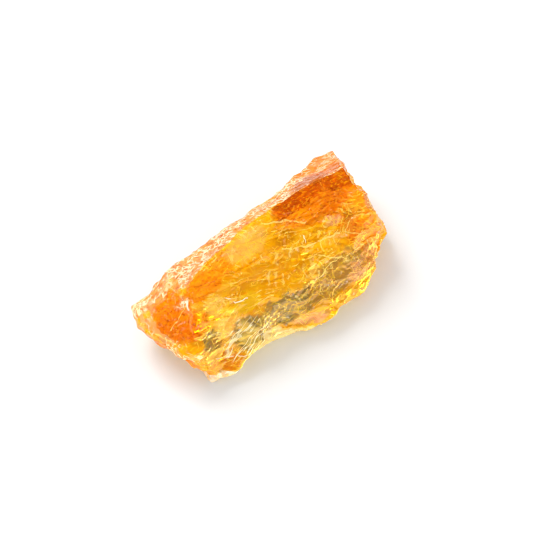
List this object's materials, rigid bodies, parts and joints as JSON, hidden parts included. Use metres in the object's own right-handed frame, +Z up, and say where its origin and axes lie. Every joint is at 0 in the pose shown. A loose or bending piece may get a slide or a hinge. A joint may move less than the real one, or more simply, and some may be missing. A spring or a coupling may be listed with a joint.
{
  "type": "rough golden healer quartz",
  "caption": "Rough broken lump of see-through golden quartz, longer than wide, with a crest along its top and a flat cleaved base to rest on",
  "frame": {"origin": "on the flat base, under the middle of the lump's bounding box", "axes": "X along the lump's longest side, with the sharp tip at the back towards +X; Z up, away from the base"},
  "size_m": [0.0518, 0.0246, 0.0174],
  "materials": {
    "golden_quartz": "glossy broken crystal, iron stained"
  },
  "bodies": {
    "root": {"quartz": "golden_quartz"}
  },
  "joints": []
}
